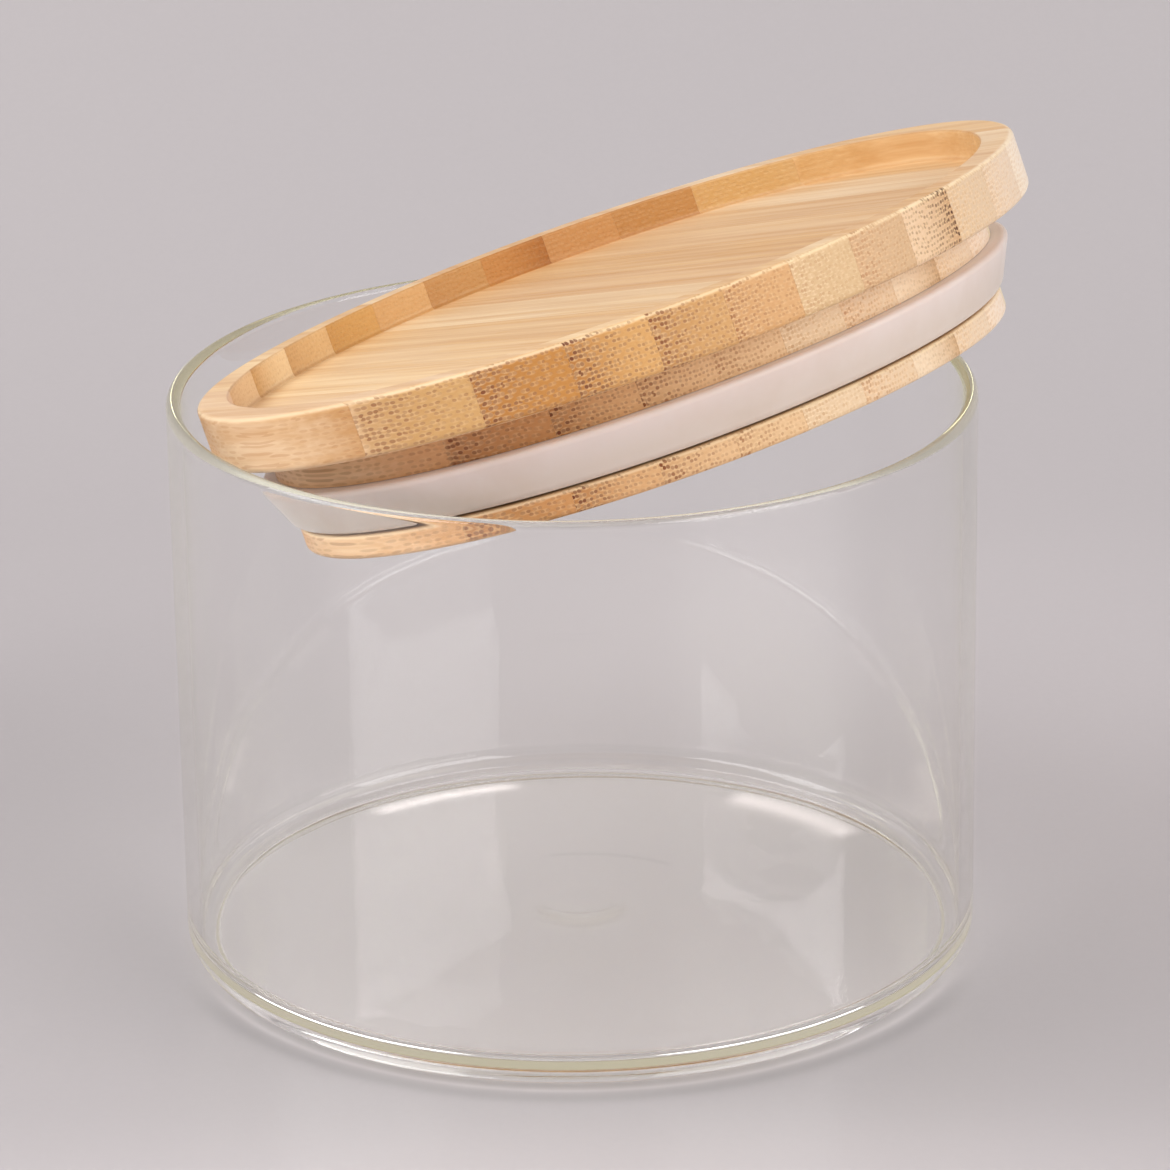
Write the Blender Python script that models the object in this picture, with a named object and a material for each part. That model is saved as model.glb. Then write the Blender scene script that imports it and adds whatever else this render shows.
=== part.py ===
"""Glass storage jar with a laminated bamboo lid, which leans in the jar's mouth.

The jar is one piece of clear borosilicate glass: a short straight cylinder with a
fire-polished rim, a flat foot, and a floor that rises a little towards its middle.
The lid is turned from a blank of upright bamboo strips, glued face to face. It has a
disc with a shallow tray on top, and below it a plug: a neck, a groove that holds a
silicone ring, and a flange. The disc is wider than the jar, so a level lid rests on
the rim. Here it leans: the low side of the disc dips inside the rim, and the disc and
the flange each rest on the rim at two points.

Units are metres, +Z is up, and the origin is the middle of the jar's foot.
"""

from math import cos, inf, isfinite, pi, radians, sin

import bmesh
import bpy
import numpy as np
from mathutils import Matrix, Vector

# Jar
JAR_RADIUS = 0.0500
JAR_HEIGHT = 0.0720
WALL = 0.0018
FLOOR_THICKNESS = 0.0022
FOOT_ROUND = 0.0030
FLOOR_ROUND = 0.0016
FLOOR_LEVEL_WIDTH = 0.0051
FLOOR_RISE = 0.0010
MOULD_MARK_RADIUS = 0.0065
MOULD_MARK_HEIGHT = 0.0003

# Lid disc, measured from its underside, which is level with the rim when it is shut
LID_OVERHANG = 0.0024
DISC_THICKNESS = 0.0070
DISC_ROUND = 0.0007
TRAY_WALL = 0.0041
TRAY_DEPTH = 0.0039
TRAY_ROUND = 0.0003
TRAY_COVE = 0.0006

# Plug below the disc
NECK_CLEARANCE = 0.0022
NECK_HEIGHT = 0.0042
GROOVE_DEPTH = 0.0024
FLANGE_CLEARANCE = 0.0031
FLANGE_THICKNESS = 0.0030
FLANGE_ROUND = 0.0006

# Silicone ring
RING_SQUEEZE = 0.0001
RING_HEIGHT = 0.00575
RING_TAPER = 0.0027
RING_ROUND = 0.0004
RING_FIT = 0.0003

# Bamboo strips of the lid's blank, from the low side across
STRIP_COUNT = 13
FIRST_STRIP_WIDTH = 0.00364
LIP_WIDTH = 0.00137
GLUE_LINE = 0.0001
GRAIN_TURN = radians(33.55)

# How the lid leans
LEAN_ANGLE = radians(20.24)
LEAN_TURN = radians(-26.7)
SEAT_GAP = 0.0003

# Fineness of the round shapes
TURN_STEPS = 80
CORNER_STEPS = 3
EASE_STEPS = 2
RIM_STEPS = 6
FLOOR_STEPS = 5
SEAT_SAMPLES = 720
SEAT_HALVINGS = 40
WELD_DISTANCE = 0.000001
SMOOTH_ANGLE = radians(35)

# Sizes that follow from the ones above
MOUTH_RADIUS = JAR_RADIUS - WALL
RIM_ROUND = WALL / 2
RIM_CENTRE_RADIUS = JAR_RADIUS - RIM_ROUND
RIM_CENTRE_HEIGHT = JAR_HEIGHT - RIM_ROUND
FOOT_RADIUS = JAR_RADIUS - FOOT_ROUND
FLOOR_RADIUS = MOUTH_RADIUS - FLOOR_ROUND
RISE_RADIUS = FLOOR_RADIUS - FLOOR_LEVEL_WIDTH
DISC_RADIUS = JAR_RADIUS + LID_OVERHANG
TRAY_RADIUS = DISC_RADIUS - TRAY_WALL
TRAY_FLOOR = DISC_THICKNESS - TRAY_DEPTH
NECK_RADIUS = MOUTH_RADIUS - NECK_CLEARANCE
FLANGE_RADIUS = MOUTH_RADIUS - FLANGE_CLEARANCE
GROOVE_RADIUS = FLANGE_RADIUS - GROOVE_DEPTH
GROOVE_TOP = -NECK_HEIGHT
RING_TOP = GROOVE_TOP - RING_FIT
RING_BOTTOM = RING_TOP - RING_HEIGHT
FLANGE_TOP = RING_BOTTOM - RING_FIT
PLUG_BOTTOM = FLANGE_TOP - FLANGE_THICKNESS
RING_TOP_RADIUS = MOUTH_RADIUS + RING_SQUEEZE
RING_BOTTOM_RADIUS = RING_TOP_RADIUS - RING_TAPER
RING_BORE_RADIUS = GROOVE_RADIUS + RING_FIT

# Tone of each strip, as a share of the plain bamboo colour, from the low side across
STRIP_TONE_SHARES = (
    1.00, 0.97, 0.90, 0.92, 0.94, 1.00, 1.12, 1.06, 1.04, 1.08, 1.10, 1.02, 1.00
)
BAMBOO_COLOUR = (0.66, 0.42, 0.20)
GLASS_COLOUR = (0.96, 0.98, 0.96)
SILICONE_COLOUR = (0.74, 0.68, 0.66)


def clear_scene():
    """Remove every object, so that the model starts from nothing."""
    for item in list(bpy.data.objects):
        bpy.data.objects.remove(item, do_unlink=True)


def arc(centre, radius, start, end, steps=CORNER_STEPS):
    """Points of a round corner in an outline, from one angle in degrees to another."""
    turns = (radians(start + (end - start) * step / steps) for step in range(steps + 1))
    return [(centre[0] + radius * cos(turn), centre[1] + radius * sin(turn)) for turn in turns]


def swell(radius, width, height):
    """Height of a low round mound at this radius: most at its middle, none at its width."""
    share = min(radius / width, 1)
    return height * (1 + cos(pi * share)) / 2


def floor_height(radius):
    """Height of the jar's inner floor, with the mark of the mould in its middle."""
    rise = swell(radius, RISE_RADIUS, FLOOR_RISE)
    return FLOOR_THICKNESS + rise + swell(radius, MOULD_MARK_RADIUS, MOULD_MARK_HEIGHT)


def jar_outline():
    """Radius and height of the glass, from under the middle round to the floor's middle."""
    foot = arc((FOOT_RADIUS, FOOT_ROUND), FOOT_ROUND, -90, 0)
    rim = arc((RIM_CENTRE_RADIUS, RIM_CENTRE_HEIGHT), RIM_ROUND, 0, 180, RIM_STEPS)
    corner = arc((FLOOR_RADIUS, FLOOR_THICKNESS + FLOOR_ROUND), FLOOR_ROUND, 0, -90)
    radii = [RISE_RADIUS * step / FLOOR_STEPS for step in range(1, FLOOR_STEPS + 1)]
    radii += [0, MOULD_MARK_RADIUS / 2, MOULD_MARK_RADIUS]
    floor = [(radius, floor_height(radius)) for radius in sorted(radii, reverse=True)]
    return [(0, 0)] + foot + rim + corner + floor


def disc_outline():
    """Outline of the lid's disc, from the tray's middle to where the neck begins."""
    cove = arc((TRAY_RADIUS - TRAY_COVE, TRAY_FLOOR + TRAY_COVE), TRAY_COVE, -90, 0,
               EASE_STEPS)
    lip = arc((TRAY_RADIUS + TRAY_ROUND, DISC_THICKNESS - TRAY_ROUND), TRAY_ROUND, 180, 90,
              EASE_STEPS)
    top = arc((DISC_RADIUS - DISC_ROUND, DISC_THICKNESS - DISC_ROUND), DISC_ROUND, 90, 0)
    under = arc((DISC_RADIUS - DISC_ROUND, DISC_ROUND), DISC_ROUND, 0, -90)
    return [(0, TRAY_FLOOR)] + cove + lip + top + under


def plug_outline():
    """Outline of the neck, the groove and the flange, down to the plug's middle."""
    edge = FLANGE_RADIUS - FLANGE_ROUND
    neck = [(NECK_RADIUS, 0), (NECK_RADIUS, GROOVE_TOP)]
    groove = [(GROOVE_RADIUS, GROOVE_TOP), (GROOVE_RADIUS, FLANGE_TOP)]
    top = arc((edge, FLANGE_TOP - FLANGE_ROUND), FLANGE_ROUND, 90, 0, EASE_STEPS)
    under = arc((edge, PLUG_BOTTOM + FLANGE_ROUND), FLANGE_ROUND, 0, -90, EASE_STEPS)
    return neck + groove + top + under + [(0, PLUG_BOTTOM)]


def ring_outline():
    """Closed outline of the silicone ring: square in the groove, tapered outside."""
    top = arc((RING_TOP_RADIUS - RING_ROUND, RING_TOP - RING_ROUND), RING_ROUND, 90, 0,
              EASE_STEPS)
    under = arc((RING_BOTTOM_RADIUS - RING_ROUND, RING_BOTTOM + RING_ROUND),
                RING_ROUND, 0, -90, EASE_STEPS)
    return [(RING_BORE_RADIUS, RING_BOTTOM), (RING_BORE_RADIUS, RING_TOP)] + top + under


def turned(outline, closed=False):
    """Turn an outline of radii and heights about Z into a closed solid."""
    solid = bmesh.new()
    points = [solid.verts.new((radius, 0, height)) for radius, height in outline]
    edges = [solid.edges.new(pair) for pair in zip(points, points[1:])]
    if closed:
        edges.append(solid.edges.new((points[-1], points[0])))
    bmesh.ops.spin(solid, geom=points + edges, cent=(0, 0, 0), axis=(0, 0, 1),
                   angle=2 * pi, steps=TURN_STEPS, use_merge=True)
    bmesh.ops.remove_doubles(solid, verts=solid.verts[:], dist=WELD_DISTANCE)
    bmesh.ops.recalc_face_normals(solid, faces=solid.faces[:])
    return solid


def cut_away(solid, point, normal):
    """Cut a solid at a plane, drop the side that the normal points to, close the cut."""
    geometry = solid.verts[:] + solid.edges[:] + solid.faces[:]
    cut = bmesh.ops.bisect_plane(solid, geom=geometry, dist=WELD_DISTANCE,
                                 plane_co=point, plane_no=normal, clear_outer=True)
    border = [item for item in cut["geom_cut"] if isinstance(item, bmesh.types.BMEdge)]
    if border:
        bmesh.ops.edgeloop_fill(solid, edges=border)


def glue_planes():
    """Distances from the lid's middle to its glue planes, from the low side across.

    The turning leaves only a slice of the first strip. The last glue plane runs just
    inside the flange's edge, so that the groove cuts off a lip of the last strip.
    """
    first = FIRST_STRIP_WIDTH - DISC_RADIUS
    last = FLANGE_RADIUS - LIP_WIDTH
    strip_width = (last - first) / (STRIP_COUNT - 2)
    return [first + strip_width * index for index in range(STRIP_COUNT - 1)]


def strip_solid(low, high):
    """The part of the turned blank between two glue planes, less half of each glue line.

    An infinite plane stands for the edge of the blank, where nothing is cut.
    """
    across = Vector((cos(GRAIN_TURN), sin(GRAIN_TURN), 0))
    solid = turned(disc_outline() + plug_outline())
    if isfinite(low):
        cut_away(solid, across * (low + GLUE_LINE / 2), -across)
    if isfinite(high):
        cut_away(solid, across * (high - GLUE_LINE / 2), across)
    return solid


def groove_parts(low, high):
    """Whether the groove cuts a strip's bit of flange free from the rest of the strip."""
    nearest = max(low, -high)
    return GROOVE_RADIUS <= nearest < FLANGE_RADIUS - GLUE_LINE


def new_material(name, colour, roughness, transmission=0.0, refraction=1.5):
    """A plain Principled material."""
    material = bpy.data.materials.new(name)
    material.use_nodes = True
    shader = material.node_tree.nodes["Principled BSDF"]
    shader.inputs["Base Color"].default_value = (*colour, 1)
    shader.inputs["Roughness"].default_value = roughness
    shader.inputs["Metallic"].default_value = 0.0
    shader.inputs["Transmission Weight"].default_value = transmission
    shader.inputs["IOR"].default_value = refraction
    return material


def glass_material():
    """Clear borosilicate glass."""
    return new_material("glass", GLASS_COLOUR, 0.02, transmission=1.0, refraction=1.47)


def silicone_material():
    """Cloudy, unpigmented silicone."""
    return new_material("silicone", SILICONE_COLOUR, 0.45, transmission=0.2, refraction=1.41)


def bamboo_material(name, tone_share):
    """Oiled bamboo, a little lighter or darker from strip to strip."""
    colour = tuple(channel * tone_share for channel in BAMBOO_COLOUR)
    return new_material(name, colour, 0.55)


def add_piece(name, solid, material, parent=None):
    """Make an object from a solid, shade it, and hang it on its parent."""
    mesh = bpy.data.meshes.new(name)
    solid.to_mesh(mesh)
    solid.free()
    mesh.materials.append(material)
    mesh.shade_smooth()
    mesh.set_sharp_from_angle(angle=SMOOTH_ANGLE)
    piece = bpy.data.objects.new(name, mesh)
    bpy.context.collection.objects.link(piece)
    piece.parent = parent
    return piece


def least_gap(outline, offset, height):
    """Least distance from a leaning outline's circles to the glass round the mouth."""
    turns = np.linspace(0, 2 * pi, SEAT_SAMPLES, endpoint=False)
    least = np.inf
    for radius, rise in outline:
        out = radius * np.cos(turns)
        along = offset + out * cos(LEAN_ANGLE) - rise * sin(LEAN_ANGLE)
        up = height + out * sin(LEAN_ANGLE) + rise * cos(LEAN_ANGLE)
        reach = np.hypot(along, radius * np.sin(turns))
        over = np.hypot(reach - RIM_CENTRE_RADIUS, up - RIM_CENTRE_HEIGHT) - RIM_ROUND
        gaps = np.where(up > RIM_CENTRE_HEIGHT, over, MOUTH_RADIUS - reach)
        least = min(least, gaps.min())
    return least


def resting_height(outline, offset):
    """Height at which an outline, lowered straight down at this offset, meets the rim."""
    low = JAR_HEIGHT - DISC_RADIUS
    high = JAR_HEIGHT + 2 * DISC_RADIUS
    for _ in range(SEAT_HALVINGS):
        middle = (low + high) / 2
        if least_gap(outline, offset, middle) < SEAT_GAP:
            low = middle
        else:
            high = middle
    return high


def lean_seat():
    """Offset and height at which the disc and the plug both rest on the rim."""
    disc = disc_outline()
    plug = plug_outline() + ring_outline()
    near = 0
    far = MOUTH_RADIUS
    for _ in range(SEAT_HALVINGS):
        offset = (near + far) / 2
        if resting_height(disc, offset) > resting_height(plug, offset):
            near = offset
        else:
            far = offset
    return far, resting_height(disc, far)


def add_jar():
    """The glass jar, standing at the origin."""
    return add_piece("glass_jar", turned(jar_outline()), glass_material())


def add_lid_carrier():
    """The empty that holds the lid: the middle of the disc's underside, leaning."""
    offset, height = lean_seat()
    uphill = Vector((cos(LEAN_TURN), sin(LEAN_TURN), 0))
    hinge_line = uphill.cross(Vector((0, 0, 1)))
    carrier = bpy.data.objects.new("lid_carrier", None)
    bpy.context.collection.objects.link(carrier)
    place = Matrix.Translation(uphill * offset + Vector((0, 0, height)))
    carrier.matrix_world = place @ Matrix.Rotation(LEAN_ANGLE, 4, hinge_line)
    return carrier


def add_ring(carrier):
    """The silicone ring in the lid's groove."""
    solid = turned(ring_outline(), closed=True)
    return add_piece("silicone_gasket", solid, silicone_material(), carrier)


def add_strips(carrier):
    """The strips of the lid, and the bit of flange that the groove cuts free."""
    planes = [-inf] + glue_planes() + [inf]
    for index, (low, high) in enumerate(zip(planes, planes[1:])):
        name = f"lid_strip_{index + 1:02d}"
        tone_share = STRIP_TONE_SHARES[index % len(STRIP_TONE_SHARES)]
        material = bamboo_material(f"bamboo_{index + 1:02d}", tone_share)
        if groove_parts(low, high):
            in_groove = Vector((0, 0, (RING_TOP + RING_BOTTOM) / 2))
            lip = strip_solid(low, high)
            cut_away(lip, in_groove, Vector((0, 0, 1)))
            add_piece(f"{name}_lip", lip, material, carrier)
            solid = strip_solid(low, high)
            cut_away(solid, in_groove, Vector((0, 0, -1)))
        else:
            solid = strip_solid(low, high)
        add_piece(name, solid, material, carrier)


def main():
    """Build the jar and its leaning lid."""
    clear_scene()
    add_jar()
    carrier = add_lid_carrier()
    add_ring(carrier)
    add_strips(carrier)
    bpy.context.view_layer.update()


if __name__ == "__main__":
    main()
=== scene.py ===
"""Looks of a glass storage jar whose laminated bamboo lid leans in its mouth.

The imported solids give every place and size. Here the jar, the silicone ring and the
strips of the lid are turned again with finer surfaces, dressed in glass, silicone and
bamboo, and stood on a pale tabletop between two soft lights.
"""

import logging
from dataclasses import dataclass, field
from enum import Enum
from math import cos, e, inf, isfinite, pi, radians, sin, tan

import bmesh
import bpy
from mathutils import Matrix, Vector


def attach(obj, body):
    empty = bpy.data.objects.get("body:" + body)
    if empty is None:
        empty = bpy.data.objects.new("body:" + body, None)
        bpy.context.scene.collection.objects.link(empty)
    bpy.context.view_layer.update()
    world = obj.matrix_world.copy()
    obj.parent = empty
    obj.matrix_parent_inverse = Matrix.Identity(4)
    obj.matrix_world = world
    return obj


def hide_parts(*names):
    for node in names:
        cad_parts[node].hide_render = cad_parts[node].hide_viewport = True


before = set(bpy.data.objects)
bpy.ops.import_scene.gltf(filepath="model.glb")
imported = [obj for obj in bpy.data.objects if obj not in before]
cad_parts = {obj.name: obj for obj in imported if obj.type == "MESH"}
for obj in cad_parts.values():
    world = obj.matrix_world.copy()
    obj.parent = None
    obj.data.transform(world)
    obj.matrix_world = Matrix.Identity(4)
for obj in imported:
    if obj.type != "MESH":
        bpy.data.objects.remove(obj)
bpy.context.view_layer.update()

log = logging.getLogger("glass_jar")

MM = 0.001
WELD = 0.002 * MM
JAR_BODY = "jar"
LID_BODY = "lid"

Colour = tuple[float, float, float]


def linear(red: int, green: int, blue: int) -> Colour:
    """Turn a colour as seen on screen into the linear values that a shader takes.

    Args:
        red: Red channel, 0 to 255.
        green: Green channel, 0 to 255.
        blue: Blue channel, 0 to 255.

    Returns:
        The three linear channels, 0 to 1.
    """
    shares = [channel / 255 for channel in (red, green, blue)]
    return tuple(s / 12.92 if s <= 0.04045 else ((s + 0.055) / 1.055) ** 2.4 for s in shares)


class Side(Enum):
    """The face of a strip that was nearest the bamboo's skin, where fibres crowd."""

    LOW = 1
    HIGH = -1


@dataclass(frozen=True)
class Corner:
    """One corner of a turned outline.

    Attributes:
        radius: Distance from the axis, in metres.
        height: Height along the axis, in metres.
        rounding: Distance from the corner at which its round begins, in metres.
    """

    radius: float
    height: float
    rounding: float = 0.0


@dataclass(frozen=True)
class Turning:
    """A shape turned on a lathe: an outline of rounded corners, swept about Z.

    Attributes:
        corners: The outline, from corner to corner.
        closed: Whether the last corner joins the first, as on a ring.
        steps: How many flats make the full turn.
        round_steps: How many flats make each rounded corner.
        margin: How far from a long edge's ends its shading is held flat, in metres.
    """

    corners: tuple[Corner, ...]
    closed: bool = False
    steps: int = 256
    round_steps: int = 6
    margin: float = 0.2 * MM

    def outline(self) -> bmesh.types.BMesh:
        """Lay the outline out in the XZ plane and round its corners.

        Returns:
            A mesh of edges only.
        """
        mesh = bmesh.new()
        points = [mesh.verts.new((corner.radius, 0, corner.height)) for corner in self.corners]
        for pair in zip(points, points[1:]):
            mesh.edges.new(pair)
        if self.closed:
            mesh.edges.new((points[-1], points[0]))
        for corner, point in zip(self.corners, points):
            if corner.rounding:
                bmesh.ops.bevel(mesh, geom=[point], offset=corner.rounding,
                                offset_type="OFFSET", segments=self.round_steps,
                                profile=0.5, affect="VERTICES", material=-1)
        bmesh.ops.remove_doubles(mesh, verts=mesh.verts[:], dist=WELD)
        self._hold_flats(mesh)
        return mesh

    def _hold_flats(self, mesh: bmesh.types.BMesh) -> None:
        """Add a point near both ends of each long edge, so that its shading stays flat."""
        for edge in [edge for edge in mesh.edges if edge.calc_length() > 4 * self.margin]:
            for end in edge.verts[:]:
                share = self.margin / edge.calc_length()
                bmesh.utils.edge_split(edge, end, share)

    def solid(self) -> bmesh.types.BMesh:
        """Sweep the outline round the axis.

        Returns:
            A closed mesh whose faces point outwards.
        """
        mesh = self.outline()
        bmesh.ops.spin(mesh, geom=mesh.verts[:] + mesh.edges[:], cent=(0, 0, 0),
                       axis=(0, 0, 1), angle=2 * pi, steps=self.steps, use_merge=True)
        bmesh.ops.remove_doubles(mesh, verts=mesh.verts[:], dist=WELD)
        bmesh.ops.recalc_face_normals(mesh, faces=mesh.faces[:])
        return mesh


class Graph:
    """Adds shader nodes to a node tree and joins them."""

    def __init__(self, tree: bpy.types.NodeTree) -> None:
        """Keep the tree to work on."""
        self.tree = tree

    def node(self, kind: str, **settings: object) -> bpy.types.Node:
        """Add a node.

        Args:
            kind: Blender's name of the node's type.
            settings: Properties to set on it.

        Returns:
            The new node.
        """
        new = self.tree.nodes.new(kind)
        for name, value in settings.items():
            setattr(new, name, value)
        return new

    def filled(self, kind: str, values: dict[str, object], **settings: object) -> bpy.types.Node:
        """Add a node and feed its inputs.

        Args:
            kind: Blender's name of the node's type.
            values: Each input's name and what it is fed.
            settings: Properties to set on it.

        Returns:
            The new node.
        """
        new = self.node(kind, **settings)
        for name, value in values.items():
            self.feed(new.inputs[name], value)
        return new

    def feed(self, socket: bpy.types.NodeSocket, value: object) -> None:
        """Give an input socket a value, or join it to an output socket."""
        if isinstance(value, bpy.types.NodeSocket):
            self.tree.links.new(value, socket)
        elif value is not None:
            socket.default_value = value

    def math(self, operation: str, *values: object, clamp: bool = False) -> bpy.types.NodeSocket:
        """Add a Math node.

        Args:
            operation: The sum that it does.
            values: Numbers or sockets for its inputs, in order.
            clamp: Whether the result is kept between 0 and 1.

        Returns:
            The result's socket.
        """
        new = self.node("ShaderNodeMath", operation=operation, use_clamp=clamp)
        for socket, value in zip(new.inputs, values):
            self.feed(socket, value)
        return new.outputs[0]

    def vector(self, operation: str, *values: object) -> bpy.types.Node:
        """Add a Vector Math node, with its inputs in order.

        Args:
            operation: The sum that it does.
            values: Vectors or sockets for its inputs, in order.

        Returns:
            The node, whose outputs are Vector and Value.
        """
        new = self.node("ShaderNodeVectorMath", operation=operation)
        for socket, value in zip(new.inputs, values):
            self.feed(socket, value)
        return new

    def times(self, first: object, second: object) -> bpy.types.NodeSocket:
        """Multiply two numbers."""
        return self.math("MULTIPLY", first, second)

    def scaled(self, vector: object, share: object) -> bpy.types.NodeSocket:
        """Multiply a vector by a number."""
        new = self.vector("SCALE", vector)
        self.feed(new.inputs["Scale"], share)
        return new.outputs[0]

    def length(self, vector: object) -> bpy.types.NodeSocket:
        """Return the length of a vector."""
        return self.vector("LENGTH", vector).outputs["Value"]

    def split(self, vector: object) -> bpy.types.bpy_prop_collection:
        """Return the three parts of a vector."""
        new = self.node("ShaderNodeSeparateXYZ")
        self.feed(new.inputs[0], vector)
        return new.outputs

    def join(self, first: object, second: object) -> bpy.types.NodeSocket:
        """Make a level vector of two parts."""
        new = self.node("ShaderNodeCombineXYZ")
        self.feed(new.inputs[0], first)
        self.feed(new.inputs[1], second)
        return new.outputs[0]

    def facing(self, direction: Vector) -> bpy.types.NodeSocket:
        """Return how squarely the surface faces a direction, 1 towards it and -1 away."""
        normal = self.node("ShaderNodeTexCoord").outputs["Normal"]
        return self.vector("DOT_PRODUCT", normal, tuple(direction)).outputs["Value"]

    def relief(self, shader: bpy.types.Node, height: object, strength: float,
               distance: float) -> None:
        """Give a shader's surface a relief, where a height of 1 is a distance in metres."""
        bump = self.filled("ShaderNodeBump", {"Height": height, "Strength": strength,
                                              "Distance": distance})
        self.feed(shader.inputs["Normal"], bump.outputs["Normal"])

    def show_mix(self, share: object, first: bpy.types.Node, second: bpy.types.Node) -> None:
        """Show a mix of two shaders on the surface, with a share of the second."""
        mix = self.node("ShaderNodeMixShader")
        for socket, value in zip(mix.inputs, (share, first.outputs[0], second.outputs[0])):
            self.feed(socket, value)
        self.feed(self.tree.nodes["Material Output"].inputs["Surface"], mix.outputs[0])

    def remap(self, value: object, low: object, high: object, to_low: float = 0.0,
              to_high: float = 1.0, smooth: bool = False) -> bpy.types.NodeSocket:
        """Stretch a value from one range to another, and clamp it there.

        Args:
            value: The value to stretch.
            low: Where the first range begins.
            high: Where it ends.
            to_low: Where the second range begins.
            to_high: Where it ends.
            smooth: Whether the ends are eased.

        Returns:
            The result's socket.
        """
        kind = "SMOOTHSTEP" if smooth else "LINEAR"
        values = {"Value": value, "From Min": low, "From Max": high, "To Min": to_low,
                  "To Max": to_high}
        new = self.filled("ShaderNodeMapRange", values, interpolation_type=kind)
        return new.outputs["Result"]

    def blend(self, share: object, first: object, second: object,
              way: str = "MIX") -> bpy.types.NodeSocket:
        """Mix two colours.

        Args:
            share: How much of the second there is.
            first: Colour or socket.
            second: Colour or socket.
            way: How they mix.

        Returns:
            The mixed colour's socket.
        """
        new = self.node("ShaderNodeMix", data_type="RGBA", blend_type=way)
        self.feed(new.inputs["Factor"], share)
        for socket, value in ((new.inputs[6], first), (new.inputs[7], second)):
            self.feed(socket, (*value, 1.0) if isinstance(value, tuple) else value)
        return new.outputs[2]

    def noise(self, vector: object, scale: float, detail: float = 2.0,
              roughness: float = 0.5) -> bpy.types.NodeSocket:
        """Return cloudy noise, about 0.5 on average, with so many clouds to a unit."""
        new = self.filled("ShaderNodeTexNoise", {"Vector": vector, "Scale": scale,
                                                 "Detail": detail, "Roughness": roughness})
        return new.outputs["Fac"]

    def place(self, turn: Matrix, shift: Vector) -> bpy.types.NodeSocket:
        """Read object coordinates in a piece's own frame.

        Args:
            turn: Rotation from the object's axes to the piece's.
            shift: Where the object's origin lies in the piece's frame.

        Returns:
            The coordinates, in metres.
        """
        source = self.node("ShaderNodeTexCoord").outputs["Object"]
        new = self.filled("ShaderNodeMapping", {"Vector": source, "Location": shift,
                                                "Rotation": turn.to_euler("XYZ")},
                          vector_type="POINT")
        return new.outputs["Vector"]


def new_group(name: str, inputs: dict[str, object],
              outputs: tuple[str, ...]) -> tuple[bpy.types.NodeTree, Graph, dict, dict]:
    """Make an empty shader node group.

    Args:
        name: What it is called.
        inputs: Each input's name and its value, a number or a vector of three.
        outputs: Each output's name, all of them values.

    Returns:
        The group, a graph to build it with, its inputs' sockets and its outputs' sockets.
    """
    tree = bpy.data.node_groups.new(name, "ShaderNodeTree")
    for label, value in inputs.items():
        kind = "NodeSocketVector" if isinstance(value, tuple) else "NodeSocketFloat"
        socket = tree.interface.new_socket(label, in_out="INPUT", socket_type=kind)
        socket.default_value = value
    for label in outputs:
        tree.interface.new_socket(label, in_out="OUTPUT", socket_type="NodeSocketFloat")
    graph = Graph(tree)
    entry = graph.node("NodeGroupInput")
    leave = graph.node("NodeGroupOutput")
    return tree, graph, dict(entry.outputs.items()), dict(leave.inputs.items())


def new_material(name: str) -> tuple[bpy.types.Material, Graph, bpy.types.Node]:
    """Make a material with one Principled shader.

    Args:
        name: What it is called.

    Returns:
        The material, a graph to build it with, and its shader.
    """
    material = bpy.data.materials.new(name)
    material.use_nodes = True
    return material, Graph(material.node_tree), material.node_tree.nodes["Principled BSDF"]


@dataclass(frozen=True)
class Lean:
    """How the lid lies: the middle of its disc's underside, and its tilt.

    Attributes:
        angle: Tilt from level.
        turn: Direction of the raised side, from +X.
        offset: Shift from the jar's axis towards the raised side, in metres.
        height: Height of the disc's middle, in metres.
    """

    angle: float = radians(20.24)
    turn: float = radians(-26.7)
    offset: float = 6.7937 * MM
    height: float = 81.5252 * MM

    def matrix(self) -> Matrix:
        """Return the lid's place: its own axes into the object's."""
        uphill = Vector((cos(self.turn), sin(self.turn), 0))
        axis = uphill.cross(Vector((0, 0, 1)))
        place = Matrix.Translation(uphill * self.offset + Vector((0, 0, self.height)))
        return place @ Matrix.Rotation(self.angle, 4, axis)


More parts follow.
